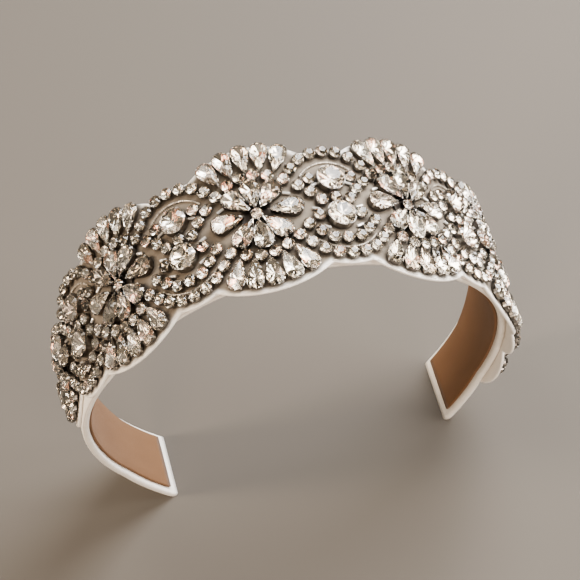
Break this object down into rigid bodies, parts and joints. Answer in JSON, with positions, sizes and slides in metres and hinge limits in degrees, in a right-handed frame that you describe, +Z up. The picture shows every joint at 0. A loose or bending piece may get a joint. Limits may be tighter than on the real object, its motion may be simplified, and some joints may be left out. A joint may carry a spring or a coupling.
{
  "type": "rhinestone headband",
  "caption": "Wide padded satin headband covered with cut crystal stones in metal cups, sewn on a scalloped cloth backing as flowers and oval links.",
  "frame": {"origin": "on the floor under the middle of the band, centre of the bounding box's underside", "axes": "+X towards the wearer's left ear, +Y towards the back of the head, +Z up through the crown; the band stands on its two ends"},
  "size_m": [0.1493, 0.0509, 0.1421],
  "materials": {
    "satin": "ivory duchess satin, soft sheen",
    "lining": "brown velvet ribbon, matt",
    "backing": "stiff ivory cloth, matt",
    "crystal": "clear cut glass with a silvered foil back",
    "small_crystal": "clear cut glass with a silvered foil back, with its metal cup",
    "setting": "darkened silver-coloured cups"
  },
  "bodies": {
    "root": {"backing": "backing", "band": "satin", "end_petals": "crystal", "end_round_stones": "crystal", "fans_lower": "small_crystal", "fans_upper": "small_crystal", "flower_centres": "crystal", "flower_settings": "setting", "lining": "lining", "link_stones": "small_crystal", "petal_1_1": "crystal", "petal_1_2": "crystal", "petal_1_3": "crystal", "petal_1_4": "crystal", "petal_1_5": "crystal", "petal_1_6": "crystal", "petal_1_7": "crystal", "petal_1_8": "crystal", "petal_2_1": "crystal", "petal_2_2": "crystal", "petal_2_3": "crystal", "petal_2_4": "crystal", "petal_2_5": "crystal", "petal_2_6": "crystal", "petal_2_7": "crystal", "petal_2_8": "crystal", "petal_3_1": "crystal", "petal_3_2": "crystal", "petal_3_3": "crystal", "petal_3_4": "crystal", "petal_3_5": "crystal", "petal_3_6": "crystal", "petal_3_7": "crystal", "petal_3_8": "crystal", "petal_4_1": "crystal", "petal_4_2": "crystal", "petal_4_3": "crystal", "petal_4_4": "crystal", "petal_4_5": "crystal", "petal_4_6": "crystal", "petal_4_7": "crystal", "petal_4_8": "crystal", "petal_5_1": "crystal", "petal_5_2": "crystal", "petal_5_3": "crystal", "petal_5_4": "crystal", "petal_5_5": "crystal", "petal_5_6": "crystal", "petal_5_7": "crystal", "petal_5_8": "crystal", "round_settings": "setting", "round_stone_1_lower": "crystal", "round_stone_1_upper": "crystal", "round_stone_2_lower": "crystal", "round_stone_2_upper": "crystal", "round_stone_3_lower": "crystal", "round_stone_3_upper": "crystal", "round_stone_4_lower": "crystal", "round_stone_4_upper": "crystal", "row_stones": "small_crystal"}
  },
  "joints": []
}
